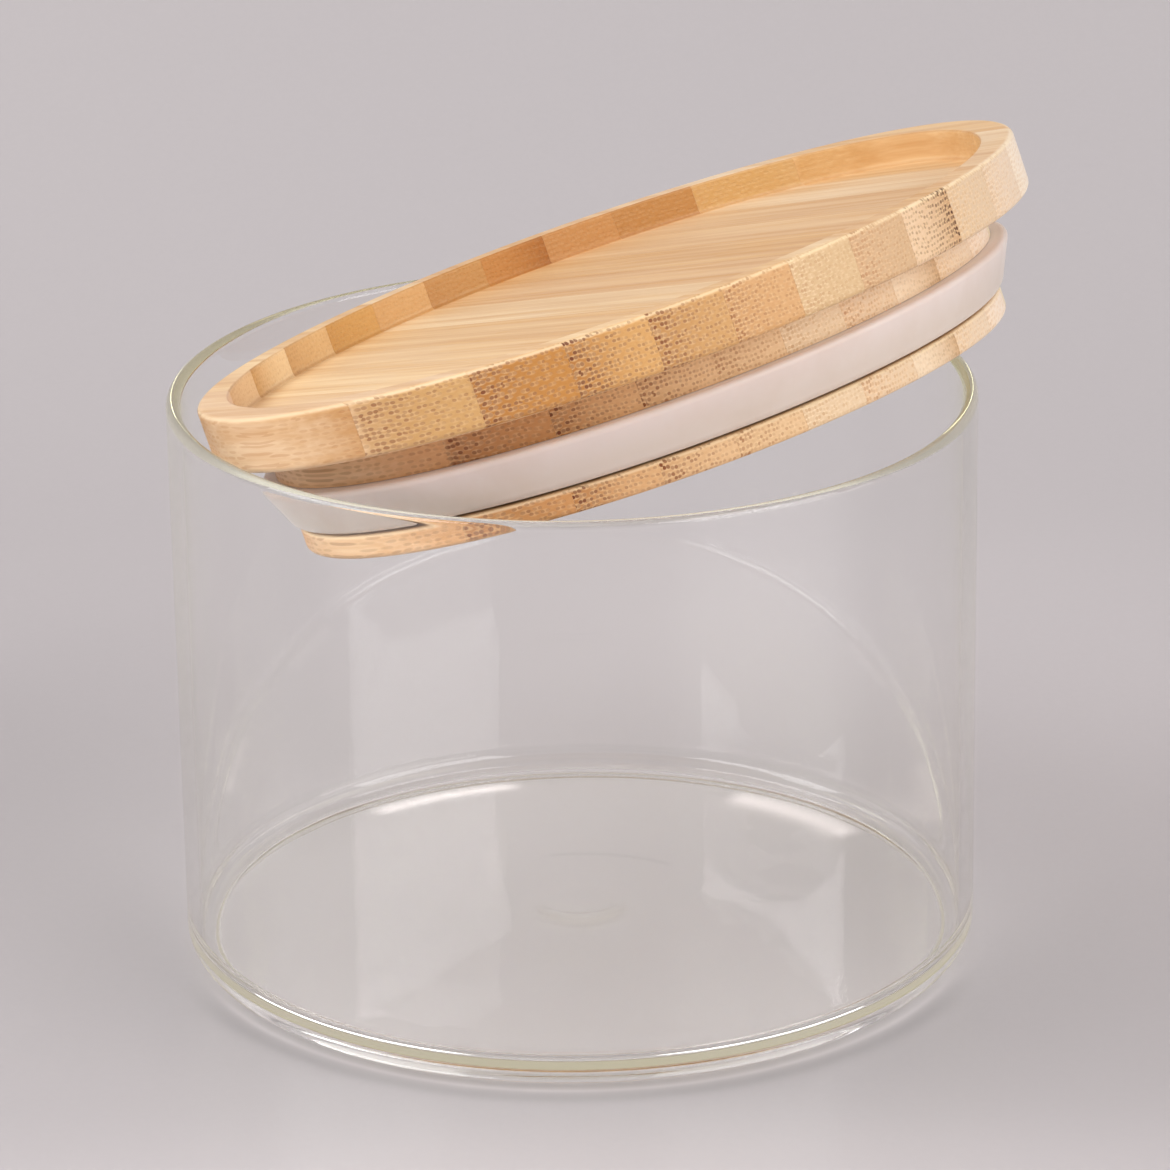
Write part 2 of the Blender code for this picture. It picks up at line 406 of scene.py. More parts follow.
class FibreGroup:
    """Node group for cut bamboo: fibre bundles that run along the grain.

    It reads a point in millimetres: X across the strips, Y along the grain, Z up. The
    bundles crowd at one face of the strip. Cut across they show as dark dots with a pale
    lip, and along as streaks.

    Attributes:
        name: What the group is called.
        wander: How far the fibres stray from straight lines, in millimetres.
        columns: How closely the columns of bundles stand.
        spreading: How fast they spread away from the skin.
        row: Distance from a row to the next of the same phase, in millimetres.
        disorder: How far the bundles stray from their lattice, 0 to 1.
        halves: Distance from a bundle's middle to its dark halves, in cells.
    """

    name = "bamboo_fibres"
    wander = 1.4
    columns = 38.0
    spreading = 0.25
    row = 1.3
    disorder = 0.46
    halves = 0.43

    def build(self) -> bpy.types.NodeTree:
        """Build the group.

        Returns:
            A group with the outputs Dots, Lips, Crowding, Streaks, Threads, Recess and Plug.
        """
        tree, graph, given, wanted = new_group(
            self.name,
            {"Point": (0.0, 0.0, 0.0), "Skin Face": 0.0, "Strip Width": 8.4, "Seed": 0.0},
            ("Dots", "Lips", "Crowding", "Streaks", "Threads", "Recess", "Plug"))
        across, _, height = graph.split(self._drifted(graph, given["Point"], given["Seed"]))
        across = graph.math("SUBTRACT", across, given["Skin Face"])
        depth = graph.math("DIVIDE", across, given["Strip Width"])
        inner = graph.math("SUBTRACT", 1.0, depth, clamp=True)
        crowd = graph.math("POWER", inner, 2.0)
        self._bundles(graph, height, depth, given["Seed"], crowd, wanted)
        graph.feed(wanted["Crowding"], crowd)
        for label, (wide, long) in {"Streaks": (0.55, 0.012), "Threads": (2.6, 0.035)}.items():
            graph.feed(wanted[label], self._streaks(graph, given, wide, long))
        graph.feed(wanted["Recess"], self._recess(graph, given["Point"]))
        graph.feed(wanted["Plug"], graph.remap(height, 0.1, -0.3))
        return tree

    def _recess(self, graph: Graph, point: object) -> bpy.types.NodeSocket:
        """Mark the tray's wall, which takes its own tone of painted light and shade."""
        away = graph.length(graph.vector("MULTIPLY", point, (1.0, 1.0, 0.0)).outputs[0])
        return graph.times(graph.remap(away, 48.8, 48.4),
                           graph.remap(graph.split(point)[2], 1.5, 2.0))

    def _drifted(self, graph: Graph, point: object, seed: object) -> bpy.types.NodeSocket:
        """Let the fibres wander a little, so that each rises to the surface and dives."""
        slow = graph.vector("MULTIPLY", point, (0.12, 0.05, 0.12)).outputs[0]
        slow = graph.vector("ADD", slow, seed).outputs[0]
        cloud = graph.filled("ShaderNodeTexNoise", {"Vector": slow, "Scale": 1.0, "Detail": 3.0})
        centred = graph.vector("SUBTRACT", cloud.outputs["Color"], (0.5, 0.5, 0.5)).outputs[0]
        drift = graph.vector("MULTIPLY", centred, (self.wander, 0.0, self.wander)).outputs[0]
        return graph.vector("ADD", point, drift).outputs[0]

    def _bundles(self, graph: Graph, height: object, depth: object, seed: object,
                 crowd: object, wanted: dict) -> None:
        """Place the bundles in staggered rows, close at the skin and wide inside."""
        reach = graph.math("MULTIPLY_ADD", depth, self.spreading, 1.0)
        reach = graph.math("LOGARITHM", reach, e)
        column = graph.math("MULTIPLY_ADD", reach, self.columns, graph.times(seed, 2.0))
        row = graph.math("DIVIDE", height, self.row)
        lattice = graph.join(graph.math("ADD", column, row), graph.math("SUBTRACT", column, row))
        cells = graph.filled("ShaderNodeTexVoronoi",
                             {"Vector": lattice, "Scale": 1.0, "Randomness": self.disorder},
                             voronoi_dimensions="2D", feature="F1")
        offset = graph.vector("SUBTRACT", lattice, cells.outputs["Position"])
        first, second, _ = graph.split(offset.outputs[0])
        aside = graph.math("ADD", first, second)
        above = graph.math("SUBTRACT", first, second)
        size = graph.math("MULTIPLY_ADD", crowd, 0.3, 0.75)
        shade = graph.node("ShaderNodeSeparateColor")
        graph.feed(shade.inputs[0], cells.outputs["Color"])
        right = graph.math("GREATER_THAN", aside, 0.0)
        pick = graph.node("ShaderNodeMix", data_type="FLOAT")
        for socket, value in zip(pick.inputs[:4], (right, None, *shade.outputs[:2])):
            graph.feed(socket, value)
        some = graph.remap(pick.outputs[0], 0.0, 0.9, 0.4, 1.0)
        apart = graph.math("SUBTRACT", graph.math("ABSOLUTE", aside), self.halves)
        dots = self._mark(graph, apart, above, size, (0.46, 0.36))
        lips = self._mark(graph, aside, above, size, (1.0, 0.56))
        graph.feed(wanted["Dots"], graph.times(dots, some))
        graph.feed(wanted["Lips"], lips)

    def _mark(self, graph: Graph, aside: object, above: object, size: object,
              shape: tuple[float, float]) -> bpy.types.NodeSocket:
        """Draw a soft oval in every cell.

        Args:
            graph: The graph to build with.
            aside: Distance from the cell's middle, sideways.
            above: Distance from the cell's middle, upwards.
            size: Size of the bundle, where 1 is the largest.
            shape: Half width and half height.

        Returns:
            The mark, 1 inside and 0 outside.
        """
        wide, high = shape
        flat = graph.join(graph.math("DIVIDE", aside, wide), graph.math("DIVIDE", above, high))
        reach = graph.math("DIVIDE", graph.length(flat), size)
        return graph.remap(reach, 1.2, 0.7, smooth=True)

    def _streaks(self, graph: Graph, given: dict, wide: float,
                 long: float) -> bpy.types.NodeSocket:
        """Make pale and dark streaks along the grain.

        Args:
            graph: The graph to build with.
            given: The group's inputs.
            wide: How many there are to a millimetre across.
            long: How many there are to a millimetre along.

        Returns:
            The value's socket, about 0.5 on average.
        """
        drawn = graph.vector("MULTIPLY", given["Point"], (wide, long, wide)).outputs[0]
        drawn = graph.vector("ADD", drawn, given["Seed"]).outputs[0]
        return graph.noise(drawn, 1.0, 3.0, 0.55)


@dataclass(frozen=True)
class BambooFinish:
    """Turned and oiled bamboo of one strip.

    Attributes:
        wood: Colour of the disc's outer face between the fibres; on the later strips it is paler
            than on the tray's wall, a painted sheen from the light.
        plug: The same on the neck and the flange, mostly lighter: painted light where the disc's
            overhang shades them.
        tray_wall_painted_light: The same on the tray's wall: painted light and shade for how that
            wall is lit.
        skin: What is left of it where the fibres crowd at the skin face.
        fibre: Colour of the cut bundles.
        strength: How clearly the bundles show, 0 to 1.
        plug_share: How much of that is left on the neck and the flange.
        side: Which face of the strip was nearest the skin.
        long_cut: Colour where the surface runs along the fibres.
        edge: Colour of a painted highlight on the rounded upper edges, where they catch the light.
    """

    wood: Colour
    plug: Colour
    tray_wall_painted_light: Colour
    skin: Colour
    fibre: Colour
    strength: float
    plug_share: float = 1.0
    side: Side = Side.LOW
    long_cut: Colour = linear(243, 209, 160)
    edge: Colour = linear(252, 228, 186)

    def material(self, name: str, low: float, high: float, seed: float, place: Matrix,
                 grain: float, fibres: bpy.types.NodeTree) -> bpy.types.Material:
        """Make the material of a strip.

        Args:
            name: What it is called.
            low: Distance from the lid's middle to the strip's low face, in millimetres.
            high: The same to its high face.
            seed: A number that sets this strip's pattern apart.
            place: The lid's place.
            grain: Angle from the lid's X axis to the line across the strips.
            fibres: The group that draws the fibres.

        Returns:
            The material.
        """
        material, graph, shader = new_material(name)
        turn = Matrix.Rotation(-grain, 4, "Z") @ place.inverted()
        point = graph.scaled(graph.place(turn.to_3x3(), turn.translation), 1 / MM)
        skin_face, width = (low, high - low) if self.side is Side.LOW else (high, low - high)
        group = graph.filled("ShaderNodeGroup",
                             {"Point": point, "Skin Face": skin_face, "Strip Width": width,
                              "Seed": seed}, node_tree=fibres)
        ends = self._end_grain(graph, place, grain)
        level = graph.facing(place.to_3x3() @ Vector((0, 0, 1)))
        self._colour(graph, shader, group.outputs, ends, level)
        self._surface(graph, shader, group.outputs, ends)
        return material

    def _end_grain(self, graph: Graph, place: Matrix, grain: float) -> bpy.types.NodeSocket:
        """Return how squarely the surface cuts the fibres, 0 along them and 1 across."""
        along = graph.facing(place.to_3x3() @ Vector((-sin(grain), cos(grain), 0)))
        return graph.remap(graph.math("ABSOLUTE", along), 0.05, 0.55, smooth=True)

    def _colour(self, graph: Graph, shader: bpy.types.Node, fibre: dict,
                ends: bpy.types.NodeSocket, level: bpy.types.NodeSocket) -> None:
        """Lay down the wood and its painted light and shade, the skin side's tone, the streaks and
        the bundles.

        Args:
            graph: The graph to build with.
            shader: The strip's shader.
            fibre: The fibre group's outputs.
            ends: How squarely the surface cuts the fibres.
            level: How flat it lies: 0 on the walls, 1 on the tray's floor, -1 underneath.
        """
        # Painted light: the neck and the flange take a lighter tone of the same wood, standing in
        # for light under the disc's overhang.
        wood = graph.blend(fibre["Plug"], self.wood, self.plug)
        # Painted light and shade: the tray's wall takes its own tone of the same wood, set for how
        # that wall is lit.
        wood = graph.blend(fibre["Recess"], wood, self.tray_wall_painted_light)
        cut = graph.blend(fibre["Crowding"], wood, graph.blend(1.0, wood, self.skin, "MULTIPLY"))
        # A third of the tray wall's painted tone also goes into the side grain's colour.
        long_cut = graph.blend(0.66, self.tray_wall_painted_light, self.long_cut)
        streak = graph.remap(fibre["Streaks"], 0.35, 0.65)
        long_cut = graph.blend(1.0, long_cut, graph.blend(streak, (0.86, 0.74, 0.6),
                                                          (1.03, 1.04, 1.06)), "MULTIPLY")
        thread = graph.remap(fibre["Threads"], 0.35, 0.7)
        wood = graph.blend(ends, long_cut, cut)
        wood = graph.blend(1.0, wood, graph.blend(thread, (0.94, 0.89, 0.83), (1.0, 1.0, 1.0)),
                           "MULTIPLY")
        # Painted highlight along the rounded upper edges, which catch the light from above.
        edge = graph.times(graph.remap(level, 0.25, 0.6), graph.remap(level, 1.0, 0.8))
        inside = graph.times(edge, fibre["Recess"])
        edge = graph.math("SUBTRACT", edge, inside)
        wood = graph.blend(graph.times(edge, 0.55), wood, self.edge)
        # Painted shade in the tray's rounded inner corner.
        wood = graph.blend(inside, wood, graph.blend(1.0, wood, (0.86, 0.76, 0.66), "MULTIPLY"))
        dashes = graph.remap(graph.math("ABSOLUTE", level), 0.8, 0.3, 0.06, 0.6)
        seen = graph.math("MAXIMUM", ends, dashes)
        near_skin = graph.math("MULTIPLY_ADD", fibre["Crowding"], 0.6, 0.4)
        plain = graph.math("SUBTRACT", 1.0, graph.times(fibre["Recess"], 0.86))
        plain = graph.times(plain, graph.remap(fibre["Plug"], 0.0, 1.0, 1.0, self.plug_share))
        seen = graph.times(graph.times(seen, near_skin), plain)
        pale = graph.blend(graph.times(fibre["Lips"], graph.times(seen, 0.4)), wood,
                           self.long_cut)
        cover = graph.times(graph.times(fibre["Dots"], seen), self.strength)
        graph.feed(shader.inputs["Base Color"], graph.blend(cover, pale, self.fibre))

    def _surface(self, graph: Graph, shader: bpy.types.Node, fibre: dict,
                 ends: bpy.types.NodeSocket) -> None:
        """Make the cut ends of the bundles into shallow pores, and the wood satin."""
        graph.feed(shader.inputs["Roughness"],
                   graph.math("MULTIPLY_ADD", fibre["Dots"], 0.2, 0.44))
        shader.inputs["Specular IOR Level"].default_value = 0.4
        shader.inputs["Sheen Weight"].default_value = 0.05
        shader.inputs["Sheen Roughness"].default_value = 0.5
        pores = graph.times(fibre["Dots"], graph.times(ends, -1.0))
        height = graph.math("MULTIPLY_ADD", fibre["Threads"], 0.4, pores)
        graph.relief(shader, height, 0.5, 0.08 * MM)


@dataclass(frozen=True)
class GlassFinish:
    """Clear borosilicate glass, which shows a yellow-green tint where light runs far in it.

    Attributes:
        tint: Colour that is left after a metre over the depth below.
        depth: How strongly the glass takes light up, per metre.
        refraction: Index of refraction.
        patience: How many turns a ray makes before it may leave the wall anywhere.
        rim_tint: What is left of a ray that was caught so, near the rim.
        foot_tint: The same near the foot.
        foot_end: Height up to which the foot's tint reaches.
        rim_start: Height from which the rim's does.
    """

    tint: Colour = (0.84, 0.83, 0.66)
    depth: float = 9.0
    refraction: float = 1.47
    patience: float = 8.5
    rim_tint: Colour = (0.97, 0.97, 0.82)
    foot_tint: Colour = (0.99, 0.98, 0.94)
    foot_end: float = 10 * MM
    rim_start: float = 40 * MM

    def material(self, name: str) -> bpy.types.Material:
        """Make the glass, which lets lamps through to what stands behind it.

        Args:
            name: What it is called.

        Returns:
            The material.
        """
        material, graph, shader = new_material(name)
        shader.inputs["Base Color"].default_value = (1.0, 1.0, 1.0, 1.0)
        shader.inputs["Transmission Weight"].default_value = 1.0
        shader.inputs["IOR"].default_value = self.refraction
        point = graph.place(Matrix.Identity(3), Vector((0, 0, 0)))
        smear = graph.noise(graph.vector("MULTIPLY", point, (1.0, 1.0, 0.35)).outputs[0], 45.0, 3.0)
        graph.feed(shader.inputs["Roughness"], graph.remap(smear, 0.45, 0.75, 0.0, 0.03))
        waves = graph.noise(graph.vector("MULTIPLY", point, (1.0, 1.0, 0.4)).outputs[0], 60.0, 1.0)
        graph.relief(shader, waves, 0.06, 1.0 * MM)
        self._let_lamps_through(graph, shader, point)
        return material

    def _let_lamps_through(self, graph: Graph, shader: bpy.types.Node, point: object) -> None:
        """Take shadow rays, and rays that are caught in the wall for long, straight through."""
        upper = graph.remap(graph.split(point)[2], self.foot_end, self.rim_start)
        tint = graph.blend(upper, self.foot_tint, self.rim_tint)
        edge = graph.node("ShaderNodeLayerWeight")
        edge.inputs["Blend"].default_value = 0.5
        grazing = graph.math("POWER", edge.outputs["Facing"], 5.0)
        path = graph.node("ShaderNodeLightPath")
        caught = graph.math("MAXIMUM",
                            graph.math("GREATER_THAN", path.outputs["Glossy Depth"], 2.5),
                            graph.math("GREATER_THAN", path.outputs["Ray Depth"], self.patience))
        clear = graph.node("ShaderNodeBsdfTransparent")
        lamps = graph.blend(grazing, (0.98, 0.98, 0.98), (0.1, 0.1, 0.1))
        graph.feed(clear.inputs["Color"], graph.blend(caught, lamps, tint))
        through = graph.math("MAXIMUM", path.outputs["Is Shadow Ray"], caught)
        graph.show_mix(through, shader, clear)
        haze = graph.node("ShaderNodeVolumeAbsorption")
        haze.inputs["Color"].default_value = (*self.tint, 1.0)
        haze.inputs["Density"].default_value = self.depth
        graph.feed(graph.tree.nodes["Material Output"].inputs["Volume"], haze.outputs[0])


@dataclass(frozen=True)
class SiliconeFinish:
    """Cloudy silicone without pigment, a little dusty.

    Attributes:
        colour: Its colour.
        dusty: Its colour where lint dulls it.
        lower_painted_shade: Colour that it is multiplied by at its lower edge: painted shade,
            darker towards the bottom.
        shade_from: Height below which the painted shade begins, from the disc's underside.
        shade_to: Height at which it is darkest.
    """

    colour: Colour = linear(215, 201, 193)
    dusty: Colour = linear(209, 192, 181)
    lower_painted_shade: Colour = (0.9, 0.89, 0.84)
    shade_from: float = -5.4 * MM
    shade_to: float = -8.6 * MM

    def material(self, name: str, place: Matrix) -> bpy.types.Material:
        """Make the silicone.

        Args:
            name: What it is called.
            place: The lid's place.

        Returns:
            The material.
        """
        material, graph, shader = new_material(name)
        point = graph.place(Matrix.Identity(3), Vector((0, 0, 0)))
        cloud = graph.noise(point, 90.0, 4.0, 0.6)
        dusted = graph.blend(graph.remap(cloud, 0.4, 0.7), self.colour, self.dusty)
        turn = place.inverted()
        height = graph.split(graph.place(turn.to_3x3(), turn.translation))[2]
        # Painted shade: the ring grows darker towards its lower edge.
        low = graph.remap(height, self.shade_from, self.shade_to)
        graph.feed(shader.inputs["Base Color"], graph.blend(
            1.0, dusted, graph.blend(low, (1.0, 1.0, 1.0), self.lower_painted_shade), "MULTIPLY"))
        graph.feed(shader.inputs["Roughness"], graph.remap(cloud, 0.3, 0.7, 0.34, 0.46))
        shader.inputs["IOR"].default_value = 1.41
        shader.inputs["Sheen Weight"].default_value = 0.35
        shader.inputs["Sheen Roughness"].default_value = 0.4
        shader.inputs["Subsurface Weight"].default_value = 0.5
        shader.inputs["Subsurface Radius"].default_value = (1.0, 0.8, 0.7)
        shader.inputs["Subsurface Scale"].default_value = 1.5 * MM
        graph.relief(shader, graph.noise(point, 1400.0, 2.0), 0.15, 0.02 * MM)
        return material


def add_piece(name: str, solid: bmesh.types.BMesh, material: bpy.types.Material,
              smooth_angle: float = radians(35)) -> bpy.types.Object:
    """Make an object from a mesh that is already in its place.

    Args:
        name: What it is called.
        solid: The mesh. It is used up.
        material: Its finish.
        smooth_angle: Edges flatter than this are shaded smooth.

    Returns:
        The object, at the origin.
    """
    mesh = bpy.data.meshes.new(name)
    solid.to_mesh(mesh)
    solid.free()
    mesh.materials.append(material)
    mesh.shade_smooth()
    mesh.set_sharp_from_angle(angle=smooth_angle)
    piece = bpy.data.objects.new(name, mesh)
    bpy.context.collection.objects.link(piece)
    return piece


def cut_away(solid: bmesh.types.BMesh, point: Vector, normal: Vector) -> None:
    """Cut a solid at a plane, drop the side that the normal points to, close the cut.

    Args:
        solid: The solid to cut.
        point: A point of the plane.
        normal: Its normal.
    """
    geometry = solid.verts[:] + solid.edges[:] + solid.faces[:]
    cut = bmesh.ops.bisect_plane(solid, geom=geometry, dist=WELD, plane_co=point,
                                 plane_no=normal, clear_outer=True)
    border = [item for item in cut["geom_cut"] if isinstance(item, bmesh.types.BMEdge)]
    if border:
        bmesh.ops.edgeloop_fill(solid, edges=border)


@dataclass
class GlassJar:
    """The jar: a straight cylinder with a fire-polished rim, on a low ring foot.

    Attributes:
        radius: Outer radius.
        height: Height of the rim.
        wall: Thickness of the wall.
        floor: Height of the floor's upper face beside its corner.
        foot_round: Rounding of the foot's outer edge.
        foot_inside: Inner radius of the ring foot, where it meets the table.
        under: Height of the hollow inside the ring foot.
        floor_round: Rounding of the inner corner.
        rise: How much higher the floor is in the middle.
        mark_radius: Radius of the mould's mark in the middle.
        mark_height: Its height.
    """

    radius: float = 50.0 * MM
    height: float = 72.0 * MM
    wall: float = 1.8 * MM
    floor: float = 2.7 * MM
    foot_round: float = 3.0 * MM
    foot_inside: float = 46.9 * MM
    under: float = 1.7 * MM
    floor_round: float = 2.4 * MM
    rise: float = 1.0 * MM
    mark_radius: float = 6.5 * MM
    mark_height: float = 0.3 * MM
    finish: GlassFinish = field(default_factory=GlassFinish)

    def corners(self) -> tuple[Corner, ...]:
        """Return the outline of the glass, from under the middle round to the floor."""
        bore = self.radius - self.wall
        level = bore - 6.7 * MM
        top = self.floor + self.rise
        rim = self.wall / 2
        return (
            Corner(0, self.under + 0.6 * MM),
            Corner(self.foot_inside - 0.7 * MM, self.under, 0.4 * MM),
            Corner(self.foot_inside, 0, 0.1 * MM),
            Corner(self.radius, 0, self.foot_round),
            Corner(self.radius, self.height, rim),
            Corner(bore, self.height, rim),
            Corner(bore, self.floor, self.floor_round),
            Corner(level, self.floor, 2.0 * MM),
            Corner(level / 2, self.floor + self.rise / 2, 8.0 * MM),
            Corner(self.mark_radius, top, 1.0 * MM),
            Corner(self.mark_radius * 0.7, top + self.mark_height * 0.9, 1.0 * MM),
            Corner(0, top + self.mark_height),
        )

    def build(self) -> None:
        """Turn the jar, dress it, and put it in place of its solid."""
        glass = self.finish.material("clear_glass")
        solid = Turning(self.corners(), steps=360, round_steps=10).solid()
        piece = add_piece("jar_glass", solid, glass)
        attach(piece, JAR_BODY)
        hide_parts("glass_jar")
        log.info("jar: %d faces", len(piece.data.polygons))


@dataclass
class SiliconeRing:
    """The ring that seals the lid: square in its groove, tapered outside.

    Attributes:
        bore: Inner radius.
        top_radius: Radius of its widest edge.
        bottom_radius: Radius of its lower edge.
        top: Height of its upper face, below the disc's underside.
        bottom: Height of its lower face.
        shoulder: Rounding of its widest edge.
        lower_round: Rounding of its lower edge.
    """

    bore: float = 43.0 * MM
    top_radius: float = 48.3 * MM
    bottom_radius: float = 45.6 * MM
    top: float = -4.25 * MM
    bottom: float = -10.25 * MM
    shoulder: float = 1.0 * MM
    lower_round: float = 0.9 * MM
    finish: SiliconeFinish = field(default_factory=SiliconeFinish)

    def build(self, lean: Lean) -> None:
        """Turn the ring, dress it, and put it in place of its solid.

        Args:
            lean: How the lid lies.
        """
        corners = (
            Corner(self.bore, self.bottom, 0.2 * MM),
            Corner(self.bore, self.top, 0.2 * MM),
            Corner(self.top_radius, self.top, self.shoulder),
            Corner(self.bottom_radius, self.bottom, self.lower_round),
        )
        solid = Turning(corners, closed=True, steps=256, round_steps=6).solid()
        bmesh.ops.transform(solid, matrix=lean.matrix(), verts=solid.verts[:])
        silicone = self.finish.material("cloudy_silicone", lean.matrix())
        piece = add_piece("seal_ring", solid, silicone)
        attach(piece, LID_BODY)
        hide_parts("silicone_gasket")
        log.info("ring: %d faces", len(piece.data.polygons))


# Each strip's outer-face, neck-and-flange and tray-wall tones are set for how each face is lit:
# painted light and shade. The pale outer faces of the later strips hold a painted sheen.
STRIPS = (
    BambooFinish(linear(188, 131, 64), linear(208, 151, 92), linear(235, 207, 182),
                 (0.95, 0.92, 0.85), linear(172, 100, 42), 1.0),
    BambooFinish(linear(207, 163, 105), linear(215, 162, 109), linear(238, 209, 182),
                 (0.86, 0.8, 0.74), linear(130, 68, 26), 1.0),
    BambooFinish(linear(191, 134, 68), linear(198, 143, 88), linear(237, 204, 160),
                 (0.86, 0.8, 0.76), linear(120, 62, 26), 1.0),
    BambooFinish(linear(209, 161, 101), linear(211, 166, 118), linear(246, 218, 173),
                 (0.68, 0.5, 0.3), linear(108, 50, 18), 1.0, long_cut=linear(246, 212, 160)),
    BambooFinish(linear(200, 154, 98), linear(217, 178, 133), linear(229, 192, 139),
                 (0.84, 0.76, 0.68), linear(124, 66, 28), 1.0),
    BambooFinish(linear(205, 158, 105), linear(217, 181, 137), linear(214, 167, 99),
                 (0.92, 0.88, 0.84), linear(144, 86, 42), 0.85),
    BambooFinish(linear(206, 174, 130), linear(218, 191, 156), linear(218, 174, 117),
                 (0.97, 0.94, 0.9), linear(168, 116, 70), 0.65, long_cut=linear(249, 224, 182)),
    BambooFinish(linear(202, 168, 129), linear(220, 193, 160), linear(198, 150, 90),
                 (0.95, 0.9, 0.86), linear(158, 104, 64), 0.7, long_cut=linear(243, 206, 156)),
    BambooFinish(linear(224, 193, 158), linear(230, 207, 177), linear(196, 139, 75),
                 (0.72, 0.58, 0.44), linear(84, 46, 22), 1.0, side=Side.HIGH, plug_share=0.3,
                 long_cut=linear(243, 208, 154)),
    BambooFinish(linear(217, 191, 160), linear(226, 203, 176), linear(199, 148, 93),
                 (0.96, 0.93, 0.9), linear(172, 122, 80), 0.45, long_cut=linear(246, 213, 164)),
    BambooFinish(linear(226, 204, 180), linear(240, 222, 203), linear(192, 141, 83),
                 (0.96, 0.93, 0.9), linear(172, 122, 80), 0.4, long_cut=linear(250, 221, 178)),
    BambooFinish(linear(241, 227, 209), linear(232, 223, 194), linear(212, 170, 109),
                 (0.97, 0.95, 0.92), linear(184, 136, 94), 0.4, long_cut=linear(252, 232, 200)),
    BambooFinish(linear(229, 208, 182), linear(231, 219, 193), linear(214, 170, 109),
                 (0.97, 0.95, 0.92), linear(184, 136, 94), 0.4),
)


@dataclass
class BambooLid:
    """The lid's wood: a tray-topped disc and a grooved plug, turned from glued strips.

    Heights are measured from the disc's underside.

    Attributes:
        disc_radius: Radius of the disc.
        disc_top: Height of its rim.
        disc_round: Rounding of its outer edges.
        tray_radius: Radius of the tray.
        tray_floor: Height of the tray's floor.
        neck_radius: Radius of the neck.
        groove_radius: Radius at the bottom of the groove.
        groove_top: Height of the groove's upper face.
        flange_radius: Radius of the flange.
        flange_top: Height of its upper face.
        plug_bottom: Height of its lower face.
        flange_round: Rounding of its edges.
        first_plane: Distance of the first glue line from the middle.
        strip_width: Distance from glue line to glue line.
        glue_gap: Width of a glue line.
        grain: Angle from the lid's X axis to the line across the strips.
        first_seed: Number that sets the first strip's pattern.
        seed_step: Number by which the next strip's differs.
        finishes: The strips' finishes, from the low edge to the high one.
    """

    disc_radius: float = 52.4 * MM
    disc_top: float = 7.0 * MM
    disc_round: float = 0.7 * MM
    tray_radius: float = 48.3 * MM
    tray_floor: float = 3.1 * MM
    neck_radius: float = 46.0 * MM
    groove_radius: float = 42.7 * MM
    groove_top: float = -4.2 * MM
    flange_radius: float = 45.1 * MM
    flange_top: float = -10.55 * MM
    plug_bottom: float = -13.55 * MM
    flange_round: float = 0.6 * MM
    first_plane: float = -48.76 * MM
    strip_width: float = 8.408 * MM
    glue_gap: float = 0.02 * MM
    grain: float = radians(33.55)
    first_seed: float = 1.7
    seed_step: float = 3.31
    finishes: tuple[BambooFinish, ...] = STRIPS

    def corners(self) -> tuple[Corner, ...]:
        """Return the outline of the wood, from the tray's middle round to the plug's."""
        return (
            Corner(0, self.tray_floor),
            Corner(self.tray_radius, self.tray_floor, 0.6 * MM),
            Corner(self.tray_radius, self.disc_top, 0.3 * MM),
            Corner(self.disc_radius, self.disc_top, self.disc_round),
            Corner(self.disc_radius, 0, self.disc_round),
            Corner(self.neck_radius, 0),
            Corner(self.neck_radius, self.groove_top),
            Corner(self.groove_radius, self.groove_top),
            Corner(self.groove_radius, self.flange_top),
            Corner(self.flange_radius, self.flange_top, self.flange_round),
            Corner(self.flange_radius, self.plug_bottom, self.flange_round),
            Corner(0, self.plug_bottom),
        )

    def planes(self) -> list[float]:
        """Return the strips' faces, from beyond the low edge to beyond the high one."""
        between = range(len(self.finishes) - 1)
        inner = [self.first_plane + self.strip_width * index for index in between]
        return [-inf, *inner, inf]

    def strip(self, whole: bmesh.types.BMesh, low: float, high: float) -> bmesh.types.BMesh:
        """Cut one strip out of the turned lid.

        Args:
            whole: The turned lid.
            low: Distance of its low face from the middle, or minus infinity.
            high: Distance of its high face, or infinity.

        Returns:
            The strip, in the lid's own frame.
        """
        across = Vector((cos(self.grain), sin(self.grain), 0))
        solid = whole.copy()
        if isfinite(low):
            cut_away(solid, across * (low + self.glue_gap / 2), -across)
        if isfinite(high):
            cut_away(solid, across * (high - self.glue_gap / 2), across)
        return solid

    def build(self, lean: Lean) -> None:
        """Cut and dress every strip, and put it in place of its solid.

        Args:
            lean: How the lid lies.
        """
        place = lean.matrix()
        fibres = FibreGroup().build()
        planes = self.planes()
        whole = Turning(self.corners(), steps=256, round_steps=4).solid()
        for index, finish in enumerate(self.finishes):
            low, high = planes[index], planes[index + 1]
            number = f"{index + 1:02d}"
            inner_low = low if isfinite(low) else high - self.strip_width
            inner_high = high if isfinite(high) else low + self.strip_width
            material = finish.material(f"cut_bamboo_{number}", inner_low / MM, inner_high / MM,
                                       self.first_seed + self.seed_step * index, place,
                                       self.grain, fibres)
            solid = self.strip(whole, low, high)
            bmesh.ops.transform(solid, matrix=place, verts=solid.verts[:])
            piece = add_piece(f"strip_{number}", solid, material)
            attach(piece, LID_BODY)
            nodes = [f"lid_strip_{number}"]
            if f"lid_strip_{number}_lip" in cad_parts:
                nodes.append(f"lid_strip_{number}_lip")
            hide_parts(*nodes)
            log.info("strip %s: %d faces", number, len(piece.data.polygons))
        whole.free()


def bell(graph: Graph, away: object, height: float) -> bpy.types.NodeSocket:
    """Return a soft bump of a height, which falls off with the distance away."""
    fall = graph.times(graph.times(away, away), -1.0)
    return graph.times(graph.math("EXPONENT", fall), height)


